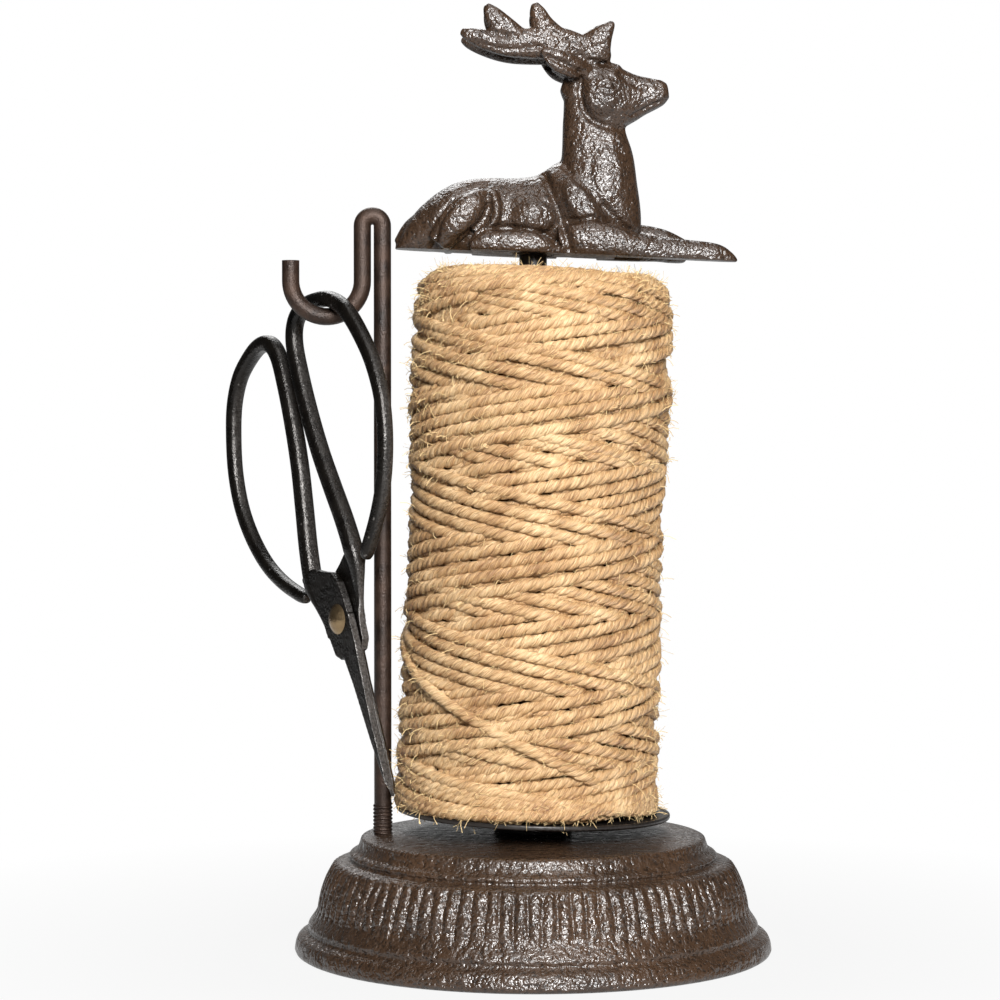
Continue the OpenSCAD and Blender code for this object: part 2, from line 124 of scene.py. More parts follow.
# the white wall is behind the stand, so metal mirrors it only on that side
world = bpy.data.worlds.new("studio")
bpy.context.scene.world = world
world.use_nodes = True
tree = world.node_tree
tree.nodes.clear()
path = add(tree, "LightPath")
way = add(tree, "SeparateXYZ", Vector=add(tree, "TexCoord").outputs["Generated"])
wall = add(tree, "MapRange", i0=way.outputs["Y"], i1=wall_from, i2=wall_full,
           i3=0.0, i4=wall_mirrored)
mirrored = add(tree, "Math", times, i0=path.outputs["Is Glossy Ray"], i1=wall)
seen = add(tree, "Math", larger, i0=path.outputs["Is Camera Ray"], i1=mirrored)
seen = add(tree, "Math", larger, i0=seen, i1=path.outputs["Is Transmission Ray"])
dim = add(tree, "Background", Color=white, Strength=world_light)
bright = add(tree, "Background", Color=white, Strength=1.0)
add(tree, "OutputWorld", Surface=add(tree, "MixShader", i0=seen, i1=dim, i2=bright))

# each lamp: name, place, aim, width, watts
for name, place, aim, width, watts in (
    ("key lamp", (0.18, -1.29, 0.64), (0, 0, 0.16), 0.6, 42.5),
    ("left lamp", (-1.1, -0.7, 0.5), (0, 0, 0.16), 0.25, 0.2),
    ("top lamp", (0.1, -0.35, 1.2), (0, 0, 0.2), 0.8, 5),
    ("rear lamp", (-0.2, 1.1, 1.2), (0, 0, 0.12), 0.8, 9),
):
    lamp = new_object(name, bpy.data.lights.new(name, "AREA"))
    lamp.data.shape = "DISK"
    lamp.data.size = width
    lamp.data.energy = watts
    lamp.location = place
    lamp.rotation_euler = (Vector(aim) - Vector(place)).to_track_quat("-Z", "Y").to_euler()


# Base: a hollow round iron casting with a grooved rim at the foot, reeds round the skirt, a small
# step and a slightly domed top. Sand-cast in one piece, browned and waxed, and open underneath. In mm.
base_h, base_r, edge_fall, post_hole_r = 41.5, 82.2, 1.9, 4.7
top_z, foot_in = base_h - edge_fall, base_r - 7.5
skirt_x, skirt_z, skirt_r, shelf_z = 41.3, 12.035, 33.2, 31.3
bead_x, bead_z, bead_r = 62.2, 33.2, 1.3
edge_x, edge_r = 58.3, 1.2
# the foot: a rim with a sloped face, a groove and a band that runs up into the skirt
foot_z = [0, 0.5, 1.4, 3.6, 5.6, 6.5, 7.1, 7.7, 8.5, 9.6, 11.2, 13, 15, 17]
foot_r = [81.0, 81.8, 82.2, 81.9, 81.1, 79.8, 78.2, 77.1, 77.4, 77.7, 76.7, 75.4, 74.3, 73]
# the cove between the bead and the edge of the top
cove_z = [31.3, 33, 34.8, 36.2, 37.6, 38.6]
cove_r = [62.8, 62.6, 61.2, 60.3, 59.8, 59.5]
# the hollow, from the post's hole down to the ring that stands on the table
hollow = [(post_hole_r, 31), (11.9, 31), (12, 37), (44, 37), (55, 36.4), (61, 33), (66, 26), (69, 18),
          (70, 12), (69.7, 4.6), (foot_in, 4.1), (foot_in, 0.5), (foot_in + 0.5, 0)]
top_r = [57, 54, 50, 45, 40, 34, 28, 21, 14, 9, post_hole_r]
reeds, per_reed, reed_depth, reed_crest = 96, 10, 1.8, 0.45
reed_low, reed_low_fade, reed_high, reed_high_fade = 13, 5, 31, 1.4
# cast reeds are a little uneven in place and depth: size, waves round the skirt, turn per mm of height
reed_wander = ((0.1, 17, 0.16), (0.09, 29, -0.23), (0.08, 43, 0.5))
reed_uneven = ((0.2, 23, 0.1), (0.12, 37, -0.3))
mould_cell, mould_cells, mould_from, mould_to = 0.1, 4, 1.6, top_z - 1.4


def ring_mesh(name, rings, caps=False, joined=False):
    rings = np.asarray(rings, float)
    count, around = rings.shape[:2]
    index = np.arange(count * around).reshape(count, around)
    if joined:
        index = np.vstack([index, index[:1]])
    beside = np.roll(index, -1, axis=1)
    faces = np.stack([index[:-1], beside[:-1], beside[1:], index[1:]], axis=-1).reshape(-1, 4).tolist()
    if caps:
        faces.append(list(range(around))[::-1])
        faces.append(list(range((count - 1) * around, count * around)))
    mesh = bpy.data.meshes.new(name)
    mesh.from_pydata(rings.reshape(-1, 3).tolist(), [], faces)
    shell = bmesh.new()
    shell.from_mesh(mesh)
    bmesh.ops.recalc_face_normals(shell, faces=shell.faces)
    shell.to_mesh(mesh)
    shell.free()
    mesh.shade_smooth()
    return mesh


def round_axis(radius, angle, z):
    return np.stack(np.broadcast_arrays(radius * np.cos(angle), radius * np.sin(angle), z), axis=1)


def place_piece(name, mesh, body, material, nodes=()):
    piece = new_object(name, mesh)
    mesh.materials.clear()
    mesh.materials.append(material)
    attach(piece, body)
    if nodes:
        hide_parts(*nodes)


# Cast iron, browned and waxed: a dark brown skin with darker pits, and small sharp lights on its
# lumps where the wax shines. Sand grain is about 0.3 mm, and is drawn coarser so that it shows.
def cast_iron(name, grain_mm, lump_mm, pit_depth, stain_mm=26.3):
    made, tree = new_material(name)
    where = add(tree, "TexCoord").outputs["Object"]
    grain = add(tree, "TexNoise", Vector=where, Scale=1000 / grain_mm, Detail=1.0, Roughness=0.5)
    lump = add(tree, "TexNoise", Vector=where, Scale=1000 / lump_mm, Detail=1.0, Roughness=0.4)
    stain = add(tree, "TexNoise", Vector=where, Scale=1000 / stain_mm, Detail=4.0, Roughness=0.6)
    stained = add(tree, "MapRange", i0=stain, i1=0.3, i2=0.7)
    shade = add(tree, "Mix", blend, i0=stained, i6=linear("#2a1e15"), i7=linear("#412f21"))
    pits = add(tree, "MapRange", i0=grain, i1=0.34, i2=0.47, i3=0.75, i4=0.0)
    tone = add(tree, "Mix", blend, i0=pits, i6=shade, i7=linear("#1a130e"))
    gloss = add(tree, "MapRange", i0=lump, i1=0.3, i2=0.7, i3=0.24, i4=0.38)
    relief = add(tree, "Bump", Strength=1.0, Distance=pit_depth * 1.6, Height=lump)
    relief = add(tree, "Bump", Strength=1.0, Distance=pit_depth, Height=grain, Normal=relief)
    skin = add(tree, "BsdfPrincipled", Base_Color=tone, Roughness=gloss, Normal=relief,
               Metallic=0.0, Specular_IOR_Level=0.66)
    add(tree, "OutputMaterial", Surface=skin)
    return made


def round_at(z, middle_x, middle_z, r):
    off = abs(z - middle_z)
    return middle_x + math.sqrt(max(0, r * r - off ** 2)) if off <= r + 1e-9 else 0


def base_radius(z):
    forms = [round_at(z, bead_x, bead_z, bead_r), round_at(z, edge_x, top_z - edge_r, edge_r)]
    if foot_z[-4] < z < shelf_z:
        forms.append(round_at(z, skirt_x, skirt_z, skirt_r))
    if z <= foot_z[-1]:
        forms.append(np.interp(z, foot_z, foot_r))
    if shelf_z - 1 <= z < cove_z[-1]:
        forms.append(np.interp(z, cove_z, cove_r))
    return max(forms)


def blurred(values, cells, axis, mode):
    weight = np.exp(-0.5 * (np.arange(-3 * cells, 3 * cells + 1) / cells) ** 2)
    weight /= weight.sum()
    margin = [(0, 0)] * values.ndim
    margin[axis] = (3 * cells, 3 * cells)
    padded = np.pad(values, margin, mode=mode)
    return np.apply_along_axis(lambda line: np.convolve(line, weight, "valid"), axis, padded)


# the sand mould rounds every corner of the outline a little, apart from the lowest and highest ones
fine_z = np.arange(0, top_z + 0.01, mould_cell)
sharp_r = np.array([base_radius(z) for z in fine_z])
eased_r = blurred(sharp_r, mould_cells, 0, "edge")
fine_r = np.where((fine_z > mould_from) & (fine_z < mould_to), eased_r, sharp_r)

outline = [(r, z, 0) for r, z in hollow]
for z in np.concatenate([np.linspace(0, 14, 30), np.linspace(14.6, 31, 20), np.linspace(31.2, top_z, 22)]):
    fade = np.clip((z - reed_low) / reed_low_fade, 0, 1) * np.clip((reed_high - z) / reed_high_fade, 0, 1)
    outline.append((np.interp(z, fine_z, fine_r), z, fade * reed_depth))
outline += [(r, base_h - edge_fall * (r / edge_x) ** 2, 0) for r in top_r]

angles = np.linspace(0, math.tau, reeds * per_reed, endpoint=False)
rings = []
for r, z, depth in outline:
    wander = sum(size * np.sin(waves * angles + turn * z) for size, waves, turn in reed_wander)
    uneven = 1 + sum(size * np.sin(waves * angles + turn * z) for size, waves, turn in reed_uneven)
    crest = np.abs(np.cos(angles * reeds / 2 + wander)) ** reed_crest - 1
    rings.append(round_axis(r + depth * uneven * crest, angles, z))
base_mesh = ring_mesh("cast_base", np.array(rings) / 1000, joined=True)
base_iron = cast_iron("browned cast iron", grain_mm=1.111, lump_mm=3.125, pit_depth=0.0006)
place_piece("cast_base", base_mesh, "stand", base_iron, ["base"])


# Spindle, collar and turntable: a turned post through the casting, a loose collar and a pressed
# disc, all in black satin paint. The CAD shapes show as they are.
def finish_nodes(material, *names):
    for name in names:
        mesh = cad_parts[name].data
        mesh.materials.clear()
        mesh.materials.append(material)


# a thin coat or a plain skin: cloudy in tone and gloss, with fine pits
def thin_coat(name, dark, pale, metal, rough, pit_mm, pit_depth, cloud_mm=8.333):
    made, tree = new_material(name)
    where = add(tree, "TexCoord").outputs["Object"]
    cloud = add(tree, "TexNoise", Vector=where, Scale=1000 / cloud_mm, Detail=5.0, Roughness=0.65)
    pits = add(tree, "TexNoise", Vector=where, Scale=1000 / pit_mm, Detail=3.0, Roughness=0.6)
    clouded = add(tree, "MapRange", i0=cloud, i1=0.3, i2=0.72)
    tone = add(tree, "Mix", blend, i0=clouded, i6=linear(dark), i7=linear(pale))
    gloss = add(tree, "MapRange", i0=cloud, i1=0.3, i2=0.7, i3=rough[0], i4=rough[1])
    relief = add(tree, "Bump", Strength=0.6, Distance=pit_depth, Height=pits)
    skin = add(tree, "BsdfPrincipled", Base_Color=tone, Roughness=gloss, Normal=relief,
               Metallic=metal)
    add(tree, "OutputMaterial", Surface=skin)
    return made


# satin paint: nearly black, with soft lights
black_paint = thin_coat("black satin paint", "#14110f", "#2b2521", 0.2, (0.28, 0.5), 1.111, 0.0002)
finish_nodes(black_paint, "spindle", "plate_collar", "plate")


# Washers and nuts under the casting, and the socket inside the figure: plated and turned steel,
# screwed or pressed on, and hidden when the stand is on the table.
# zinc: a dull, pale grey metal
zinc = thin_coat("dull zinc", "#7d7d7a", "#a3a29e", 0.9, (0.3, 0.5), 1.4286, 0.0001)
finish_nodes(zinc, "spindle_washer", "spindle_nut", "hook_washer", "hook_nut", "stag_bush")


# Paper core: the tube of wound brown paper that the twine is wound on. It stands loose
# on the turntable, over the post.
# paper: a matt brown with no lights
core_paper = thin_coat("brown core paper", "#93704a", "#b58f62", 0.0, (0.8, 0.95), 2.0, 0.0002)
finish_nodes(core_paper, "paper_core")


# Twine: jute of three plies, cross-wound on the paper tube in one unbroken strand. Each turn
# lies on the turns below it, and the end is laid down across the others. Sizes in mm.
plate_top = Matrix.Translation((0, 0, 0.0479218))
roll_place = plate_top @ Matrix.Rotation(math.radians(2), 4, "Y") @ Matrix.Translation((-0.0025, 0, 0))
plate_half, roll_h, shoulder = 0.65, 185.3, 9.0
strand_side, strand_deep, lay = 2.15, 1.65, 11.0
ply_off, ply_r, ply_turns = 0.35, 0.69, np.radians([-112, -54, 0, 54, 112])

# Jute: pale, dry fibres that run round each ply, with a silky light on the crowns and brown between
# them. Real fibres are about 0.05 mm wide, and are drawn as wider streaks so that they show.
streak_wide, streak_long, streak_turns, patch_mm = 0.78079, 4.45344, 0.5, 12.5
streak_scale = strand_side * ply_r / streak_wide
jute, tree = new_material("jute twine")
strand = add(tree, "SeparateXYZ", Vector=add(tree, "UVMap", {"uv_map": "strand"}))
twist = add(tree, "Math", times_plus, i0=strand.outputs["X"], i1=streak_turns,
            i2=strand.outputs["Y"])
round_way = add(tree, "Math", times, i0=twist, i1=math.tau)
drawn = add(tree, "Math", times, i0=strand.outputs["X"], i1=lay / (streak_long * streak_scale))
thread = add(tree, "CombineXYZ", Z=drawn,
             X=add(tree, "Math", {"operation": "COSINE"}, i0=round_way),
             Y=add(tree, "Math", {"operation": "SINE"}, i0=round_way))
streaks = add(tree, "TexNoise", Vector=thread, Scale=streak_scale, Detail=5.0, Roughness=0.7)
where = add(tree, "TexCoord").outputs["Object"]
patch = add(tree, "TexNoise", Vector=where, Scale=1000 / patch_mm, Detail=3.0)
shown = add(tree, "Math", times, i0=streaks.outputs["Fac"], i1=0.65)
shown = add(tree, "Math", times_plus, i0=patch, i1=0.35, i2=shown)
to_middle = add(tree, "MapRange", i0=shown, i1=0.36, i2=0.48)
to_pale = add(tree, "MapRange", i0=shown, i1=0.48, i2=0.63)
tone = add(tree, "Mix", blend, i0=to_middle, i6=linear("#754d29"), i7=linear("#b1895a"))
tone = add(tree, "Mix", blend, i0=to_pale, i6=tone, i7=linear("#e2c294"))
relief = add(tree, "Bump", Strength=0.9, Distance=0.0008, Height=streaks)
skin = add(tree, "BsdfPrincipled", Base_Color=tone, Normal=relief, Roughness=0.5,
           Specular_IOR_Level=0.85)
add(tree, "OutputMaterial", Surface=skin)

# the package is wound turn by turn over a chart of its heights, turn angle by distance up the side
cells_round, cells_up, cell = 560, 400, 0.5
side_low, side_high, step, mean_r, core_r = 1.7, 187.3, 1.6, 42, 33.0
turns, to_and_fro, first_angle = 179.6, 8.0899, 0.4
bend, end_stray, stray_turn, slow_stray = 0.985, 1.6, 1.7, 0.55
count = int(turns * math.tau * mean_r / step)
turn = np.linspace(0, turns, count)
shake = np.random.default_rng(7)
knots = np.arange(0, turns + 0.5, 0.5)
slow = np.interp(turn, knots, shake.normal(0, 1, len(knots)))
slow = np.convolve(slow, np.ones(60) / 60, "same")
swing = np.arcsin(bend * np.sin(math.tau * turn / to_and_fro)) / math.asin(bend)
near_end = np.abs(swing) ** 8 * np.sign(swing)
along = (side_low + side_high) / 2 + (side_high - side_low) / 2 * swing + slow_stray * slow
along = np.clip(along - end_stray * near_end * (1 + np.sin(turn * stray_turn)), side_low, side_high)
angle = math.tau * turn + first_angle
chart = np.full((cells_up, cells_round), core_r)
lift = np.zeros(count)
reach = int(round(strand_side / cell))
spread = np.arange(-reach, reach + 1)
crown = strand_deep * np.sqrt(np.maximum(0, 1 - (spread * cell / strand_side) ** 2))
# how far a strand sinks in, how steeply it may climb over another and how far it may cut a corner
side_slope, sunk, climb, cut_corner = 0.42, 0.72, 0.3, 0.25


def columns_at(angle):
    return (angle / math.tau % 1 * cells_round).astype(int) % cells_round


def lay_strand(part):
    rows = np.clip((along[part] / cell).astype(int), reach, cells_up - reach - 1)
    columns = columns_at(angle[part])
    under = chart[rows[:, None] + spread[None, :], columns[:, None]]
    need = (under - side_slope * np.abs(spread)[None, :] * cell).max(axis=1) + strand_deep * sunk
    taut = need.copy()
    for k in range(1, 9):
        taut[k:] = np.maximum(taut[k:], need[:-k] - climb * k * step)
        taut[:-k] = np.maximum(taut[:-k], need[k:] - climb * k * step)
    smooth = np.convolve(np.pad(taut, 3, mode="edge"), np.ones(7) / 7, "valid")
    lift[part] = np.maximum(smooth, need - cut_corner)
    for sideways in (-1, 0, 1):
        for k, up in zip(spread, crown):
            np.maximum.at(chart, (rows + k, (columns + sideways) % cells_round), lift[part] + up)


one_turn = 165
for start in range(0, count, one_turn):
    lay_strand(slice(start, min(count, start + one_turn)))

# the loose end: across the front, down to the foot of the roll
end_angle = np.radians(np.linspace(-215, -54, 80))
end_along = np.interp(np.degrees(end_angle), [-215, -180, -147, -100, -54], [66, 57, 45, 28.5, 12.5])
angle = np.concatenate([angle, end_angle])
along = np.concatenate([along, end_along])
lift = np.concatenate([lift, np.zeros(len(end_angle))])
lay_strand(slice(count, len(angle)))

# stretches that later turns bury are left out
bury_margin = 0.4
rows = np.clip((along / cell).astype(int), 3, cells_up - 4)
columns = columns_at(angle)
cover = np.min([chart[rows + k, columns] for k in range(-3, 4)], axis=0)
bare = cover - (lift + strand_deep) < bury_margin
kept = bare.copy()
for k in (1, 2):
    kept[k:] |= bare[:-k]
    kept[:-k] |= bare[k:]

# every height is set back so that the finished package has the real outline, and what stands
# proud of it or lies below it is eased
proud_most, proud_ease, low_most, low_ease, bedded = 0.55, 0.9, 1.9, 2.6, 0.9
cell_up = (np.arange(cells_up) + 0.5) * cell
package_r = np.interp(cell_up, [0, 40, 80, 105, 140, 160, 176], [45.0, 44.6, 43.8, 43.4, 45.0, 44.5, 44.0])
level = blurred(blurred(chart, 11, 0, "edge"), 16, 1, "wrap")
excess = level - package_r[:, None]
strand_r = package_r - bedded * strand_deep
off = lift - excess[rows, columns] - strand_r[rows]
eased = np.where(off > 0, proud_most * np.tanh(off / proud_ease), low_most * np.tanh(off / low_ease))
lift = strand_r[rows] + eased
lift = np.convolve(np.pad(lift, 2, mode="edge"), np.ones(5) / 5, "valid")
lift[count:] = strand_r[rows[count:]] + np.interp(np.degrees(end_angle), [-64, -54], [1.1, -1.4])


def over_shoulder(radius, up):
    straight = roll_h - 1 - shoulder
    roll_over = np.clip((up - straight) / shoulder, 0, 1.5)
    z = np.minimum(up, straight) + shoulder * np.sin(roll_over) + plate_half
    return radius - shoulder * (1 - np.cos(roll_over)) - 2.0 * np.sin(roll_over) ** 2, z


def ply_rings(points, length, outward):
    tangent = np.gradient(points, axis=0)
    tangent /= np.linalg.norm(tangent, axis=1)[:, None]
    up = np.cross(tangent, outward)
    up /= np.linalg.norm(up, axis=1)[:, None]
    out = np.cross(up, tangent)
    for ply in range(3):
        phase = math.tau * (ply / 3 - length / lay)[:, None]
        # spun by machine from loose fibre, so each ply is now thicker, now thinner
        thick = (1 + 0.06 * np.sin(0.37 * length + 2 * ply)[:, None]
                 + 0.05 * np.sin(0.91 * length - ply)[:, None])
        around = phase + ply_turns
        side = strand_side * (ply_off * np.sin(phase) + ply_r * thick * np.sin(around))
        deep = strand_deep * (ply_off * np.cos(phase) + ply_r * thick * np.cos(around))
        yield points[:, None, :] + side[:, :, None] * up[:, None, :] + deep[:, :, None] * out[:, None, :]


ply_mark, end_taper = 7.3, 0.15


def strand_mesh(name, runs):
    points, quads, marks, first = [], [], [], 0
    sides = len(ply_turns)
    for path, length, outward in runs:
        n = len(path)
        for ply, rings in enumerate(ply_rings(path, length, outward)):
            for end in (0, -1):
                rings[end] = path[end] + end_taper * (rings[end] - path[end])
            index = first + np.arange(n * sides).reshape(n, sides)
            beside = np.roll(index, -1, axis=1)
            quads.append(np.stack([index[:-1], index[1:], beside[1:], beside[:-1]], axis=-1).reshape(-1, 4))
            u = np.repeat(length / lay + ply_mark * ply, sides).reshape(n, sides)
            v = np.tile(np.arange(sides) / sides, (n, 1))
            w = v + 1 / sides
            corners = [(u[:-1], v[:-1]), (u[1:], v[1:]), (u[1:], w[1:]), (u[:-1], w[:-1])]
            marks.append(np.stack([np.stack(corner, -1) for corner in corners], axis=2).reshape(-1, 2))
            points.append(rings.reshape(-1, 3))
            first += n * sides
    mesh = bpy.data.meshes.new(name)
    mesh.from_pydata((np.concatenate(points) / 1000).tolist(), [], np.concatenate(quads).tolist())
    mesh.uv_layers.new(name="strand").data.foreach_set("uv", np.concatenate(marks).ravel())
    mesh.shade_smooth()
    mesh.transform(roll_place)
    return mesh


def run_length(points):
    return np.concatenate([[0], np.cumsum(np.linalg.norm(np.diff(points, axis=0), axis=1))])


# in front the lowest turns lie out over the lip of the plate
lip_out, lip_high = 2.0, 4
in_front = np.clip(-np.sin(angle), 0, 1) ** 2
radius, z = over_shoulder(lift + lip_out * in_front * np.exp(-((along - side_low) / lip_high) ** 2), along)
line = round_axis(radius, angle, z)
length = run_length(line)
outward = round_axis(1, angle, np.interp(along, [172, 186], [0, 1.6]))
inner_turns, under_turns, last_turns = [], [], []
under_from, last_from = 0.55 * count, 0.79 * count
kept[count] = False
starts = np.flatnonzero(np.diff(np.concatenate([[0], kept.astype(int)])) == 1)
ends = np.flatnonzero(np.diff(np.concatenate([kept.astype(int), [0]])) == -1) + 1
for start, end in zip(starts, ends):
    if end - start > 3:
        layer = last_turns if start > last_from else under_turns if start > under_from else inner_turns
        layer.append((line[start:end], length[start:end], outward[start:end]))

# the top of the package: turns that run inward to the paper tube
face_turns, face_out, face_in, far_along = 6.5, 37.5, 15.6, 60000
turn = np.linspace(0, face_turns, 1000)
radius = np.interp(turn, [0, face_turns], [face_out, face_in])
height = plate_half + roll_h - 2.6 + 0.35 * np.sin(9 * turn) - 0.03 * (face_out - radius)
face = round_axis(radius, math.tau * turn, height)
inner_turns.append((face, run_length(face) + far_along, np.tile([0.0, 0.0, 1.0], (len(face), 1))))
inner_mesh = strand_mesh("twine_inner_turns", inner_turns)
under_mesh = strand_mesh("twine_package", under_turns)
last_mesh = strand_mesh("twine_last_turns", last_turns)

# a dark inside behind the turns, so that no light comes through between them; its dark brown is painted shade
inside = [(14.2, 1.0), (37, 1.0), (37, 172), (35.5, 176), (32, 179.0), (14.2, 179.4)]
turned = np.linspace(0, math.tau, 96, endpoint=False)
rings = [round_axis(r, turned, z + plate_half) for r, z in inside]
hidden_mesh = ring_mesh("twine_inside", np.array(rings) / 1000, joined=True)
hidden_mesh.transform(roll_place)
# painted shade: jute in the shade of its own turns, drawn as a matt dark brown
painted_shade_jute = thin_coat("jute with painted shade", "#4a3520", "#6e5233", 0.0, (0.9, 1.0), 1.111, 0.0008)
place_piece("twine_inside", hidden_mesh, "reel", painted_shade_jute)
place_piece("twine_inner_turns", inner_mesh, "reel", jute)
place_piece("twine_package", under_mesh, "reel", jute, ["twine_roll"])
place_piece("twine_last_turns", last_mesh, "reel", jute, ["twine_winding"])


# Loose fibres: the ends of jute fibres that work out of the twine. They lie across the grooves, curl
# off the surface and make the soft edge of the roll. They grow from the bare outside of the turns.
def new_tree(name, **sizes):
    group = bpy.data.node_groups.new(name, "GeometryNodeTree")
    group.interface.new_socket("Geometry", in_out="INPUT", socket_type="NodeSocketGeometry")
    for key, value in sizes.items():
        kind = "NodeSocketInt" if isinstance(value, int) else "NodeSocketFloat"
        group.interface.new_socket(key.replace("_", " "), in_out="INPUT", socket_type=kind)
    group.interface.new_socket("Geometry", in_out="OUTPUT", socket_type="NodeSocketGeometry")
    return group, add(group, "NodeGroupInput").outputs


def finished_mesh(carrier):
    ready = carrier.evaluated_get(bpy.context.evaluated_depsgraph_get())
    mesh = bpy.data.meshes.new_from_object(ready)
    bpy.data.objects.remove(carrier)
    return mesh


def grown(name, start, group, made, material, **sizes):
    plain = add(group, "GeometryNodeRealizeInstances", Geometry=made)
    finished = add(group, "GeometryNodeSetMaterial", Geometry=plain, Material=material)
    add(group, "NodeGroupOutput", i0=finished)
    carrier = new_object(name, start)
    growth = carrier.modifiers.new("growth", "NODES")
    growth.node_group = group
    for item in group.interface.items_tree:
        if item.in_out == "INPUT" and item.name != "Geometry":
            growth[item.identifier] = sizes[item.name.replace(" ", "_")]
    return finished_mesh(carrier)


# single jute fibres: paler and more matt than the twine. They are drawn about three times as thick
# as real ones, so that they show
straw, tree = new_material("pale jute fibre")
skin = add(tree, "BsdfPrincipled", Base_Color=linear("#d9bd8a"), Roughness=0.7)
add(tree, "OutputMaterial", Surface=skin)

whole = bmesh.new()
for mesh in (inner_mesh, under_mesh, last_mesh):
    whole.from_mesh(mesh)
twine_skin = bpy.data.meshes.new("twine_skin")
whole.to_mesh(twine_skin)
whole.free()
twine_skin.transform(roll_place.inverted())
top_from, top_full, top_gain, top_lean, least_facing, tumble = 0.168, 0.184, 0.03, 40, 0.3, 0.3


# bow: the fibre's start, middle and end; swing: its turns on the surface; least, most: its scales
def fibre_coat(name, bow, swing, least, most, **sizes):
    group, size_in = new_tree(name, **sizes)
    here = add(group, "GeometryNodeInputPosition")
    flat = add(group, "VectorMath", times, i0=here, i1=(1, 1, 0))
    away = add(group, "VectorMath", {"operation": "NORMALIZE"}, i0=flat)
    # near the top the outside turns from the side to the end face
    height = add(group, "SeparateXYZ", Vector=here)
    near_top = add(group, "MapRange", i0=height.outputs["Z"], i1=top_from, i2=top_full,
                   i3=0.0, i4=top_gain)
    upward = add(group, "CombineXYZ", Z=near_top)
    outward = add(group, "VectorMath", times_plus, i0=upward, i1=(0, 0, top_lean), i2=away)
    facing = add(group, "VectorMath", {"operation": "DOT_PRODUCT"}, i0=outward,
                 i1=add(group, "GeometryNodeInputNormal"))
    faces_out = add(group, "Math", {"operation": "GREATER_THAN"}, i0=facing, i1=least_facing)
    off_axis = add(group, "VectorMath", {"operation": "LENGTH"}, i0=flat)
    off_axis = add(group, "Math", {"operation": "ADD"}, i0=off_axis, i1=near_top)
    on_skin = add(group, "Math", {"operation": "GREATER_THAN"}, i0=off_axis, i1=size_in["Skin radius"])
    chosen = add(group, "Math", times, i0=faces_out, i1=on_skin)
    roots = add(group, "GeometryNodeDistributePointsOnFaces", Mesh=size_in["Geometry"], Selection=chosen,
                Density=size_in["Fibres per square metre"], Seed=size_in["Seed"])
    start, middle, end = bow
    bent = add(group, "GeometryNodeCurveQuadraticBezier", Resolution=2, Start=start, Middle=middle, End=end)
    section = add(group, "GeometryNodeCurvePrimitiveCircle", Resolution=3, Radius=size_in["Fibre radius"])
    one_fibre = add(group, "GeometryNodeCurveToMesh", Curve=bent, Profile_Curve=section, Fill_Caps=True)
    round_way = add(group, "VectorMath", {"operation": "CROSS_PRODUCT"}, i0=(0, 0, 1), i1=away)
    laid = add(group, "FunctionNodeAlignRotationToVector", {"axis": "X", "pivot_axis": "Z"},
               Rotation=roots.outputs["Rotation"], Vector=round_way)
    swirl = add(group, "FunctionNodeRandomValue", {"data_type": "FLOAT_VECTOR"}, Seed=size_in["Seed"],
                i0=(-tumble, -tumble, swing[0]), i1=(tumble, tumble, swing[1]))
    turned_by = add(group, "FunctionNodeEulerToRotation", Euler=swirl)
    posed = add(group, "FunctionNodeRotateRotation", {"rotation_space": "LOCAL"}, i0=laid, i1=turned_by)
    scale = add(group, "FunctionNodeRandomValue", {"data_type": "FLOAT_VECTOR"}, Seed=size_in["Seed"],
                i0=least, i1=most)
    hairs = add(group, "GeometryNodeInstanceOnPoints", Points=roots, Instance=one_fibre, Rotation=posed,
                Scale=scale)
    mesh = grown(name, twine_skin.copy(), group, hairs, straw, **sizes)
    mesh.transform(roll_place)
    place_piece(name, mesh, "reel", straw)


coat = dict(Fibres_per_square_metre=108000.0, Skin_radius=0.0424)
# lying fibres arch over the grooves, standing ones make the soft edge, and short down fills between
fibre_coat("twine_fuzz", [(-0.0024, 0, -0.0002), (0, 0.0003, 0.0013), (0.0024, 0, -0.0002)], (-0.3, 0.9),
           (0.6, 0.5, 0.4), (1.7, 1.5, 1.5), Fibre_radius=0.000085, Seed=5, **coat)
fibre_coat("twine_fibres", [(0, 0, -0.0002), (0.0012, 0.0003, 0.0014), (0.0034, -0.0006, 0.0012)], (0, 6.283),
           (0.35, 0.3, 0.3), (1.9, 1.5, 2.0), Fibre_radius=0.00008, Seed=11, **coat)
fibre_coat("twine_down", [(-0.0013, 0, -0.0002), (0, 0.0004, 0.001), (0.0014, 0, 0.0003)], (0, 6.283),
           (0.6, 0.5, 0.4), (1.6, 1.5, 1.5), Fibre_radius=0.00008, Seed=23, **coat)


# Stag: the finial, a lying stag cast in one piece with its antlers, with a flat underside. Body, neck,
# head, legs and antlers are lofted, fused and smoothed, then the lines are cut in. Sizes in mm.
stag_place = Matrix.Translation((0, 0, 0.239833)) @ Matrix.Rotation(math.radians(2.5), 4, "Y")
stag_voxel, thinnest, smooth_in, smooth_back = 0.56, 0.1, 0.5, -0.47
socket_r, socket_low, socket_high = 7.26, 229.3, 256.94


def curve_through(points, steps):
    p = np.asarray(points, float)
    p = np.vstack([p[0], p, p[-1]])
    t = np.linspace(0, 1, steps, endpoint=False)[:, None]
    runs = []
    for a, b, c, d in zip(p[:-3], p[1:-2], p[2:-1], p[3:]):
        bent = (2 * a - 5 * b + 4 * c - d) * t ** 2 + (3 * b - a - 3 * c + d) * t ** 3
        runs.append(0.5 * (2 * b + (c - a) * t + bent))
    return np.vstack(runs + [p[-1:]])


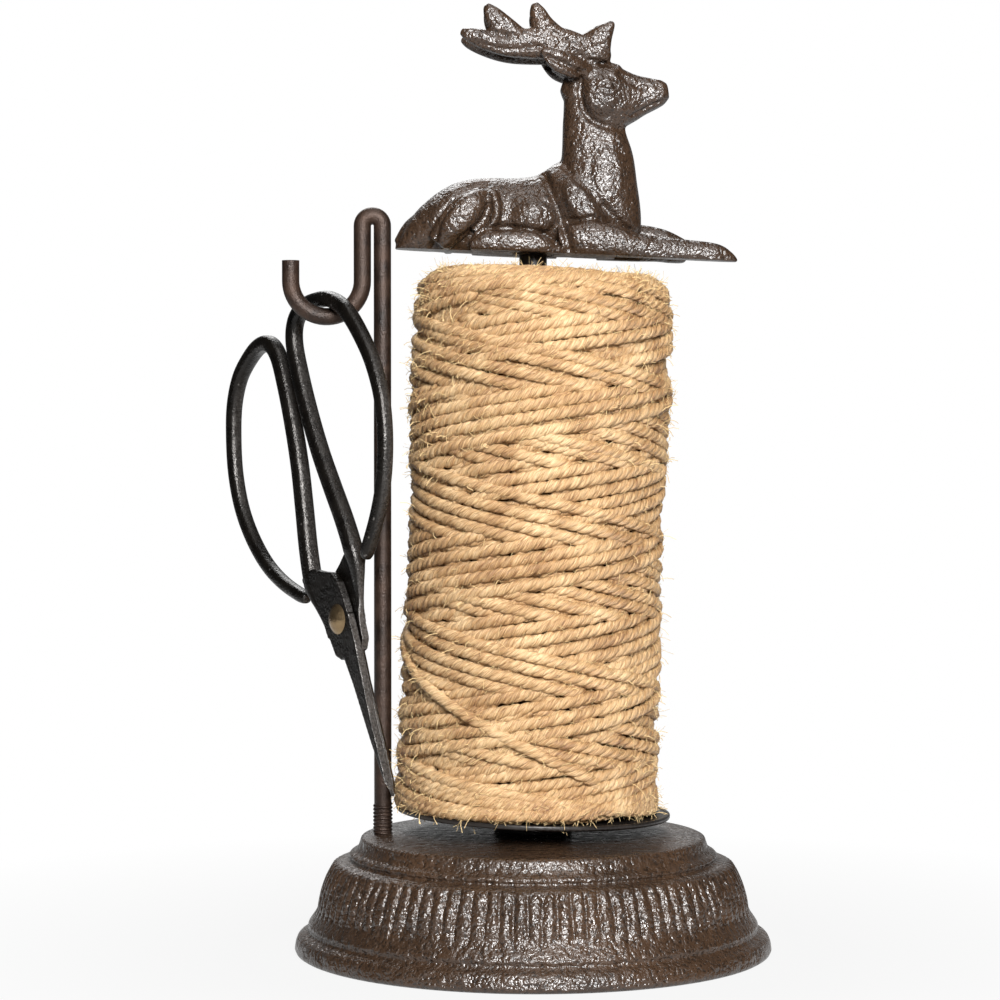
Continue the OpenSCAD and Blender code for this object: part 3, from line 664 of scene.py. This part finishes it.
# each point is x, y, z, half depth in the side view and half width across; sections are a little squared
def loft(name, points, steps=5, around=28, upright=False, square=0.8):
    p = curve_through(points, steps)
    tangent = np.gradient(p[:, :3], axis=0)
    tangent[:, 1] = 0
    if upright:
        tangent[:, 2] = 0
    tangent /= np.linalg.norm(tangent, axis=1)[:, None]
    upward = np.stack([-tangent[:, 2], np.zeros(len(p)), tangent[:, 0]], axis=1)
    turn = np.linspace(0, math.tau, around, endpoint=False)
    tall = np.sign(np.cos(turn)) * np.abs(np.cos(turn)) ** square
    wide = np.sign(np.sin(turn)) * np.abs(np.sin(turn)) ** square
    deep = np.maximum(p[:, 3], thinnest)[:, None, None] * tall[None, :, None] * upward[:, None, :]
    across = np.maximum(p[:, 4], thinnest)[:, None, None] * wide[None, :, None] * np.array([0.0, 1.0, 0.0])
    return ring_mesh(name, p[:, None, :3] + deep + across, caps=True)


def vertex_values(mesh, kind):
    values = np.zeros(len(mesh.vertices) * 3)
    mesh.vertices.foreach_get(kind, values)
    return values.reshape(-1, 3)


def soften(mesh, rounds):
    points = vertex_values(mesh, "co")
    ends = np.zeros(len(mesh.edges) * 2, int)
    mesh.edges.foreach_get("vertices", ends)
    a, b = ends.reshape(-1, 2).T
    size = len(points)
    many = np.bincount(a, minlength=size) + np.bincount(b, minlength=size)
    for turn in range(rounds * 2):
        sums = [np.bincount(a, points[b, k], size) + np.bincount(b, points[a, k], size) for k in range(3)]
        to_middle = np.stack(sums, axis=1) / many[:, None] - points
        points += (smooth_in if turn % 2 == 0 else smooth_back) * to_middle
    mesh.vertices.foreach_set("co", points.ravel())
    mesh.update()


def fuse(name, meshes, voxel, rounds):
    joined = bmesh.new()
    for mesh in meshes:
        joined.from_mesh(mesh)
        bpy.data.meshes.remove(mesh)
    bmesh.ops.recalc_face_normals(joined, faces=joined.faces)
    whole = bpy.data.meshes.new(name + "_forms")
    joined.to_mesh(whole)
    joined.free()
    holder = new_object(name + "_forms", whole)
    mend = holder.modifiers.new("fuse", "REMESH")
    mend.mode = "VOXEL"
    mend.voxel_size = voxel
    mesh = finished_mesh(holder)
    bpy.data.meshes.remove(whole)
    mesh.name = name
    soften(mesh, rounds)
    return mesh


# a round hole along Z
def bored(name, mesh, radius, low, high, around):
    turned = np.linspace(0, math.tau, around, endpoint=False)
    rings = [round_axis(radius, turned, z) for z in (low, high)]
    holder = new_object(name + "_blank", mesh)
    drill = new_object(name + "_drill", ring_mesh(name + "_drill", rings, caps=True))
    cut = holder.modifiers.new("hole", "BOOLEAN")
    cut.operation = "DIFFERENCE"
    cut.solver = "EXACT"
    cut.object = drill
    finished = finished_mesh(holder)
    bpy.data.objects.remove(drill)
    finished.name = name
    finished.validate()
    finished.shade_smooth()
    return finished


# the trunk: x, height of the back, half width
trunk = [(-47.4, 1.6, 3.4), (-46, 4, 5.4), (-43.9, 8.8, 7.4), (-41.5, 12.2, 9), (-38.6, 15.6, 10.6),
         (-32.8, 20.6, 13), (-26.4, 24, 14.4), (-18, 25.6, 14.4), (-8, 26, 13.6), (-1, 27, 13.6),
         (3, 29.2, 13.6), (7, 32, 13.6), (12, 33.4, 13.4), (18, 33, 13), (24, 30, 11), (28, 26, 9)]
trunk_sunk = 3
middle_forms = {
    "neck": [(20.9, 0, 4, 15.8, 10.5), (21.2, 0, 14, 15.4, 11.2), (20.8, 0, 24, 14.2, 10.8),
             (20.6, 0, 33, 12.7, 9.4), (19.3, 0, 41, 11.1, 8), (18.5, 0, 48, 10.4, 7.2),
             (17.2, 0, 54, 9.2, 6.6), (15.8, 0, 60, 7.6, 6)],
    "head": [(7.4, 0, 59, 2.4, 3), (9.6, 0, 58.4, 5.4, 5), (13.1, 0, 57.6, 8.4, 7), (17.1, 0, 57.2, 10, 8.4),
             (21.7, 0, 56, 11.2, 9.1), (26.6, 0, 55.2, 10.8, 8.3), (30.6, 0, 55.5, 9, 6.7),
             (34.7, 0, 56.2, 6.9, 5.4), (38.8, 0, 57, 5.4, 5), (42, 0, 57.8, 4.1, 4.5),
             (43.9, 0, 58.2, 2.4, 2.8)],
    "tail": [(-38, 0, 11, 3, 3.4), (-42.5, 0, 7, 3, 3), (-46.4, 0, 1.6, 2, 2.4)],
    "far_foreleg": [(22, 11, 6, 7, 6.4), (34, 11.2, 6.4, 6.6, 5.6), (43, 10.8, 6, 5.9, 5),
                    (49, 10.4, 4.6, 5, 4.4), (52, 10.2, 3.4, 4.2, 3.6), (54, 10.2, 2.2, 2.4, 2.6)],
    "near_foreleg": [(8.6, -11.8, 3.6, 5.8, 6), (14, -12.2, 4.4, 6.6, 6.4), (20, -12.6, 4.8, 7, 6.6),
                     (27, -12.6, 4.2, 6.4, 6.4), (34, -12.2, 3.1, 5.2, 5.9), (42, -11.6, 2.5, 4.6, 5.3),
                     (52, -10.8, 2.3, 4.4, 4.9), (61.7, -10.2, 1.9, 4, 4.5), (66.4, -9.9, 0.9, 2.6, 3.5),
                     (69.2, -9.7, -0.2, 1.1, 1.7)],
}
# forms that the stag has on both sides
paired_forms = {
    "thigh": [(-32.6, 11.6, 1.6, 4, 4.6), (-27.6, 13, 8, 5.6, 5.4), (-21.4, 12.6, 15, 5.4, 5.2),
              (-16.8, 11, 19.8, 2.8, 3.2)],
    "haunch_edge": [(-15, 12, 20.4, 1.5, 2.2), (-13.4, 13.6, 15.7, 1.5, 2.3), (-13.4, 14.2, 11.8, 1.5, 2.4),
                    (-15, 14.6, 7.8, 1.5, 2.4), (-20, 14.8, 4.6, 1.5, 2.4)],
    "hind_leg": [(-21.5, 13.4, 0.8, 2.4, 4.2), (-17.5, 14, 2, 4, 4.8), (-12, 14.2, 2.4, 4.6, 5),
                 (-4, 14.2, 2.6, 4.8, 5.1), (3, 13.8, 2, 4, 4.8), (8.4, 12.8, 0.4, 2.4, 3.4)],
    "ribs": [(-8, 6.4, 13, 7.4, 7.2), (-1, 7.2, 12.2, 8.6, 7.8), (4, 6.8, 12, 7.2, 7)],
    "shoulder": [(9.6, 6.4, 26, 4.6, 5.8), (13, 8, 20.4, 6, 6.6), (17, 9, 14, 6.4, 6.8),
                 (21.4, 9.4, 8.6, 5, 6)],
    "ear": [(15.8, 7, 62.6, 2, 1.8), (11.4, 9.4, 63.4, 3.6, 2.2), (6.2, 11.2, 65.2, 3.8, 2.2),
            (2.2, 12, 67.4, 2.4, 1.6), (-0.2, 12.2, 68.9, 0.8, 0.9)],
    "ear_root": [(17, 4, 61, 4, 4), (11, 5.4, 64.4, 4.2, 3.6), (5, 6.4, 67.4, 3.6, 3)],
    "beam": [(20.4, 3.6, 67.6, 4.4, 3.4), (14, 5.2, 70.8, 4.2, 3.4), (6, 6.8, 72, 5.4, 3.3),
             (-2.6, 7.8, 71.6, 5.4, 3), (-11.1, 8.5, 71, 4.6, 2.8), (-18.1, 9, 71.6, 3.6, 2.5),
             (-24.8, 9.2, 73.2, 2.5, 2), (-28, 9.3, 74.3, 1, 1)],
    "brow_tine": [(17.2, 4.2, 67, 6.2, 3.6), (17.8, 5, 71.2, 6.2, 3.3), (20, 5.8, 75.2, 4.2, 2.8),
                  (22.8, 6.4, 78.8, 1.8, 2), (23.6, 6.6, 80.2, 0.8, 0.9)],
    "middle_tine": [(2.4, 7.2, 73, 6.4, 3), (-0.4, 7.8, 78, 4, 2.8), (-2.4, 8.4, 82.4, 2.7, 2.3),
                    (-3.3, 8.8, 85, 1.1, 1.1)],
    "rear_tine": [(-8.6, 8.3, 71, 5.4, 2.9), (-13.8, 8.8, 76, 4.6, 2.6), (-17.8, 9.2, 80.8, 3, 2.1),
                  (-19.8, 9.4, 83.6, 1.1, 1.1)],
}
trunk_points = [(x, 0, (top - trunk_sunk) / 2, (top + trunk_sunk) / 2, half) for x, top, half in trunk]
forms = [loft("trunk", trunk_points, upright=True, square=1.0)]
forms += [loft(name, points) for name, points in middle_forms.items()]
for side in (-1, 1):
    for name, points in paired_forms.items():
        forms.append(loft(name, [(x, side * y, *rest) for x, y, *rest in points]))
stag_mesh = fuse("cast_stag", forms, stag_voxel, 2)

# lines of the casting: path in the side view, height, width
stag_lines = [
    ([(32.2, 48.8), (35.1, 50.6), (38.6, 52.6), (42, 54.4)], -0.9, 0.6),
    ([(13.8, 61.6), (13.2, 56.1), (14.8, 49.9), (18.3, 46.5), (22.7, 44.8), (28.2, 44)], -1.7, 1.1),
    ([(2.3, 27), (5.3, 20.3), (7.9, 14.1), (9.7, 8.7), (12, 1)], -1.9, 1.5),
    ([(9.8, 29.8), (15.7, 23.9), (21.5, 18.2), (27.2, 13.3), (32.9, 9.6)], -1.2, 1.3),
    ([(-34, 0.7), (-32.4, 8.7), (-28, 16.7), (-22.7, 21.3), (-17.3, 22.6)], -1.2, 1.4),
    ([(-24.6, 3.4), (-18.4, 9), (-16, 14), (-16.4, 18)], -0.9, 1.0),
    ([(-22.8, 2.7), (-19.7, 5.8), (-14.2, 7.6), (-4, 8), (3.1, 6.5), (8.6, 2.7)], -1.1, 0.9),
    ([(11.6, 10.9), (19.4, 12.2), (25.8, 11.4), (33.8, 8.8), (41.7, 7.2)], -1.0, 1.0),
    ([(1.6, 66.4), (7.2, 64.4), (12.6, 62.2)], -1.2, 0.9),
    ([(-22.5, 70.6), (-12.9, 68.6), (-5.1, 69.6), (0.3, 70)], -0.7, 0.9),
    ([(-21, 76), (-16, 73.6), (-9, 73.4)], -0.6, 1.0),
    ([(2, 76), (6, 73.6), (14, 73)], -0.5, 1.0),
    ([(16.4, 66.6), (20.4, 66.2), (25, 65.4)], -0.7, 0.9),
    ([(26.6, 62.6), (30.4, 60), (35.2, 58.4)], -0.6, 1.0),
    ([(64.4, 3), (65.4, 0.5)], -0.6, 0.6),
]
# swellings: middle in the side view, half length, half width, turn in degrees, height
stag_swells = [
    (-24.8, 11, 11.5, 5.4, 48, 0.9), (-0.4, 11.8, 8.6, 6, 4, 0.9), (15, 17.4, 10, 5, -52, 0.8),
    (20.6, 54.6, 6.4, 8, 0, 0.6), (24.4, 27, 6.4, 12.4, 8, 0.5),
]
# the eye: a ball in a groove under a lid, each as height, distance from the middle, width
eye_x, eye_z, eye_long, eye_bend, eye_out = 23.1, 57.8, 2, 1.6, 3
eye_rings = ((0.6, 0, 0.7), (-0.6, 1.25, 0.4), (0.45, 2.0, 0.5))
nostril_x, nostril_z, nostril_long, nostril_deep, nostril_wide = 40.4, 58.8, 1.4, 0.8, 0.7
flank_from, flank_fade, swell_edge = 0.15, 0.3, 0.4

points, normals = vertex_values(stag_mesh, "co"), vertex_values(stag_mesh, "normal")
shift = np.zeros(len(points))
flank = np.clip((np.abs(normals[:, 1]) - flank_from) / flank_fade, 0, 1)


def from_line(path):
    line = curve_through(path, 6)
    near = np.full(len(points), 1e9)
    for a, b in zip(line[:-1], line[1:]):
        way = b - a
        t = np.clip(((points[:, [0, 2]] - a) @ way) / (way @ way), 0, 1)
        near = np.minimum(near, np.linalg.norm(points[:, [0, 2]] - a - t[:, None] * way, axis=1))
    return near


for path, rise, width in stag_lines:
    shift += rise * np.exp(-(from_line(path) / width) ** 2) * flank
for x, z, half_long, half_wide, turn, rise in stag_swells:
    c, s = math.cos(math.radians(turn)), math.sin(math.radians(turn))
    off_x, off_z = points[:, 0] - x, points[:, 2] - z
    inside = 1 - np.hypot((off_x * c + off_z * s) / half_long, (off_z * c - off_x * s) / half_wide)
    inside = np.clip(inside / swell_edge, 0, 1)
    shift += rise * inside ** 2 * (3 - 2 * inside) * flank
eye = np.abs(points[:, 2] - eye_z) + ((points[:, 0] - eye_x) / eye_long) ** 2 / eye_bend
for rise, off, width in eye_rings:
    shift += flank * rise * np.exp(-((eye - off) / width) ** 2) * (np.abs(points[:, 1]) > eye_out)
nostril = np.hypot((points[:, 0] - nostril_x) / nostril_long, points[:, 2] - nostril_z)
shift -= flank * nostril_deep * np.exp(-(nostril / nostril_wide) ** 2)
points += normals * shift[:, None]
points[:, 2] = np.maximum(points[:, 2], 0)
stag_mesh.vertices.foreach_set("co", points.ravel())
soften(stag_mesh, 1)
stag_mesh.transform(Matrix.Scale(0.001, 4))
stag_mesh.transform(stag_place)
stag_whole = bored("cast_stag", stag_mesh, socket_r / 1000, socket_low / 1000, socket_high / 1000, 64)
stag_iron = cast_iron("browned cast iron of the figure", grain_mm=0.9524, lump_mm=2.6316, pit_depth=0.00045)
place_piece("cast_stag", stag_whole, "finial", stag_iron, ["stag"])


# Hook rod: round bar, bent cold into a tight loop and an open hook, and threaded where it is
# screwed into the casting. The thread is a fine ridge wound round the foot of the rod.
# lacquer: a thin brown-black coat, satin, with a fine grain and rubbed places
rod_lacquer = thin_coat("brown rod lacquer", "#17100c", "#433228", 0.5, (0.34, 0.52), 0.6667, 0.0004)
finish_nodes(rod_lacquer, "hook_rod")

rod_foot = (-0.0519, 0, 0.0402)
thread_sizes = dict(Thread_turns=8.0, Thread_radius=0.0029, Thread_height=0.0102, Thread_bar=0.00052)
group, size_in = new_tree("rod thread", **thread_sizes)
helix = add(group, "GeometryNodeCurveSpiral", Resolution=28, Rotations=size_in["Thread turns"],
            Start_Radius=size_in["Thread radius"], End_Radius=size_in["Thread radius"],
            Height=size_in["Thread height"])
ridge = add(group, "GeometryNodeCurvePrimitiveCircle", Resolution=6, Radius=size_in["Thread bar"])
wound = add(group, "GeometryNodeCurveToMesh", Curve=helix, Profile_Curve=ridge, Fill_Caps=True)
set_up = add(group, "GeometryNodeTransform", Geometry=wound, Translation=rod_foot)
thread_start = bpy.data.meshes.new("thread_start")
thread_mesh = grown("rod_thread", thread_start, group, set_up, rod_lacquer, **thread_sizes)
thread_mesh.shade_smooth()
place_piece("rod_thread", thread_mesh, "stand", rod_lacquer)


# Scissors: two forged halves with open bows, hung by one bow on the hook and held together by a
# rivet. Bow, shank and blade are fused, the blade's bevel is ground and the rivet's hole bored. In mm.
scissors_turn, scissors_hang, blade_lean = math.radians(55), math.radians(22.5), math.radians(5.5)
rivet_at = Vector((-64.5628, -9.40743, 114.968))
scissors_place = (Matrix.Scale(0.001, 4) @ Matrix.Translation(rivet_at)
                  @ Matrix.Rotation(-scissors_turn, 4, "Z") @ Matrix.Rotation(math.radians(90), 4, "X")
                  @ Matrix.Rotation(scissors_hang, 4, "Z"))
bow_root = [(-7.6, -1), (-11, 8)]
bow_line = [(-14.2, 17), (-13.2, 29.5), (-10, 45), (-7.4, 58.5), (-5.8, 73), (-5.2, 88), (-5.9, 100.5),
            (-9.8, 107.2), (-16.8, 109.3), (-25.5, 107.9), (-34.2, 104.2), (-41.6, 96.6), (-46.8, 85.5),
            (-50.2, 73.4), (-50.7, 60.4), (-47.6, 47.5), (-41.4, 35), (-32.6, 24.6), (-20.6, 14.6)]
shank_line = [(-16.8, 20.5), (-9.2, 21.6), (-3.6, 18.6), (1.6, 16.4), (4.8, 12), (6.2, 5), (7, -4), (0, -10),
              (-8.4, -4), (-9.8, 6), (-16.2, 15.5)]
back_line = [(6.9, -1), (6.2, -12), (4.9, -22), (3, -38)]
edge_line = [(1.4, -65.2), (-0.4, -60), (-1.8, -45), (-2.9, -24), (-4.1, -13.6)]
heel_line = [(-7, -10.6), (-8, -3)]
bow_d, bow_end_d, blade_t, blade_gap, rivet_d, rivet_play = 6.6, 4.8, 2.8, 0.12, 4.8, 0.06
bar_sides, bar_square, bar_end = 24, 2.7, [0.96, 0.86, 0.66]
# the bar is thin where it leaves the shank, and both its thickness and its place ease over to the bow's
root_steps, root_ease, root_thin, root_rise = 5, 13, 0.42, 1.55
forge_voxel, edge_t, bevel_rise, bevel_top, drill_low, drill_high = 0.32, 1.0, 1.1, -13.4, -2, 6


def slab(name, line, low, high):
    shape = bmesh.new()
    under = [shape.verts.new((x, y, low)) for x, y in line]
    over = [shape.verts.new((x, y, high)) for x, y in line]
    shape.faces.new(under[::-1])
    shape.faces.new(over)
    for k in range(len(under)):
        j = (k + 1) % len(under)
        shape.faces.new((under[k], under[j], over[j], over[k]))
    bmesh.ops.recalc_face_normals(shape, faces=shape.faces)
    mesh = bpy.data.meshes.new(name)
    shape.to_mesh(mesh)
    shape.free()
    return mesh


def scissors_half(name, lean):
    path = curve_through(bow_root + bow_line, 8)
    taken_in = np.clip((np.arange(len(path)) - root_steps) / root_ease, 0, 1)
    tangent = np.gradient(path, axis=0)
    tangent /= np.linalg.norm(tangent, axis=1)[:, None]
    across = np.stack([-tangent[:, 1], tangent[:, 0]], axis=1)
    radius = np.linspace(bow_d, bow_end_d, len(path)) / 2 * (root_thin + (1 - root_thin) * taken_in)
    radius[-3:] *= bar_end
    turn = np.linspace(0, math.tau, bar_sides, endpoint=False)
    squared = (np.abs(np.cos(turn)) ** bar_square + np.abs(np.sin(turn)) ** bar_square) ** (-1 / bar_square)
    sideways = radius[:, None] * squared * np.cos(turn)
    bar = np.zeros((len(path), bar_sides, 3))
    bar[:, :, :2] = path[:, None, :] + sideways[:, :, None] * across[:, None, :]
    bar[:, :, 2] = radius[:, None] * squared * np.sin(turn) + root_rise * (1 - taken_in)[:, None]
    bow = ring_mesh(name + "_bow", bar, caps=True)
    shank = slab(name + "_shank", shank_line, blade_gap, blade_gap + blade_t)
    blade = slab(name + "_blade", back_line + edge_line + heel_line, blade_gap, blade_gap + blade_t)
    blade.transform(Matrix.Rotation(lean, 4, "Z"))
    mesh = fuse(name, [bow, shank, blade], forge_voxel, 1)
    points = vertex_values(mesh, "co")
    blade_x = points[:, 0] * math.cos(lean) + points[:, 1] * math.sin(lean)
    blade_y = points[:, 1] * math.cos(lean) - points[:, 0] * math.sin(lean)
    cutting_x, cutting_y = np.transpose(edge_line)
    from_edge = np.maximum(blade_x - np.interp(blade_y, cutting_y, cutting_x), 0)
    ground = blade_gap + edge_t + from_edge * bevel_rise
    below = blade_y < bevel_top
    points[below, 2] = np.minimum(points[below, 2], ground[below])
    mesh.vertices.foreach_set("co", points.ravel())
    return bored(name, mesh, rivet_d / 2 + rivet_play, drill_low, drill_high, 40)


# Forged steel: a black skin from the forge, uneven and a little shiny, with ground steel and painted sheen on
# the narrow sides, and wear with a painted highlight on sharp edges. Scale specks are drawn coarser so that
# they show.
cloud_mm, hammer_mm, speck_mm, bow_from, bow_full = 7.143, 3.0303, 0.6667, 0.12, 0.136
forged, tree = new_material("forged steel")
coords = add(tree, "TexCoord")
where = coords.outputs["Object"]
cloud = add(tree, "TexNoise", Vector=where, Scale=1000 / cloud_mm, Detail=6.0, Roughness=0.65)
hammer = add(tree, "TexNoise", Vector=where, Scale=1000 / hammer_mm, Detail=2.0)
specks = add(tree, "TexNoise", Vector=where, Scale=1000 / speck_mm, Detail=3.0)
face_way = add(tree, "VectorMath", {"operation": "DOT_PRODUCT"}, i0=coords.outputs["Normal"],
               i1=(math.cos(scissors_turn), -math.sin(scissors_turn), 0))
grain = add(tree, "MapRange", i0=specks, i1=0.35, i2=0.65, i3=0.25, i4=1.0)
# the narrow sides of blades and shanks are paler, as ground steel and as painted sheen; the bows' sides get a
# weaker painted sheen
height = add(tree, "SeparateXYZ", Vector=where).outputs["Z"]
low_part = add(tree, "MapRange", i0=height, i1=bow_from, i2=bow_full, i3=0.55, i4=0.22)
ground_back_and_sheen = add(tree, "Math", times, i0=grain, i1=low_part)
either_way = add(tree, "Math", {"operation": "ABSOLUTE"}, i0=face_way)
on_back = add(tree, "MapRange", i0=either_way, i1=0.7, i2=0.95, i3=0.0, i4=1.0)
# painted sheen: narrow side faces are made paler, partly for ground steel and partly for light that falls on
# them
bright = add(tree, "Math", times, i0=ground_back_and_sheen, i1=on_back)
# painted highlight and wear: sharp edges are made paler, partly as rubbed steel and partly as light caught on
# the edge
corner = add(tree, "NewGeometry").outputs["Pointiness"]
rubbed_and_highlit = add(tree, "MapRange", i0=corner, i1=0.54, i2=0.66, i3=0.0, i4=0.5)
wear_and_sheen = add(tree, "Math", larger, i0=bright, i1=rubbed_and_highlit)
clouded = add(tree, "MapRange", i0=cloud, i1=0.3, i2=0.75)
tone = add(tree, "Mix", blend, i0=clouded, i6=linear("#0c0a08"), i7=linear("#1d1915"))
# the pale steel tone: ground steel and wear, together with painted sheen and a painted highlight
tone = add(tree, "Mix", blend, i0=wear_and_sheen, i6=tone, i7=linear("#8a8683"))
gloss = add(tree, "MapRange", i0=cloud, i1=0.3, i2=0.7, i3=0.2, i4=0.36)
relief = add(tree, "Bump", Strength=0.5, Distance=0.0005, Height=hammer)
relief = add(tree, "Bump", Strength=0.7, Distance=0.0003, Height=specks, Normal=relief)
skin = add(tree, "BsdfPrincipled", Base_Color=tone, Roughness=gloss, Normal=relief, Metallic=0.55)
add(tree, "OutputMaterial", Surface=skin)

front_half = scissors_half("scissors_swinging_half", blade_lean)
hung_half = scissors_half("scissors_hanging_half", -blade_lean)
hung_half.transform(Matrix.Rotation(math.radians(180), 4, "Y"))
for mesh in (front_half, hung_half):
    mesh.transform(scissors_place)
place_piece("scissors_swinging_half", front_half, "scissors_front", forged, ["scissors_front_half"])
place_piece("scissors_hanging_half", hung_half, "scissors_hung", forged, ["scissors_hung_half"])


# Rivet: a brass pin through both halves of the scissors, with a hammered dome at each end.
# It is tight in the hanging half, and the other half turns on it.
# brass: a dull yellow metal with satin lights
rivet_brass = thin_coat("dull rivet brass", "#64503a", "#a08a68", 0.9, (0.24, 0.34), 2.381, 0.0004)
finish_nodes(rivet_brass, "scissors_rivet")
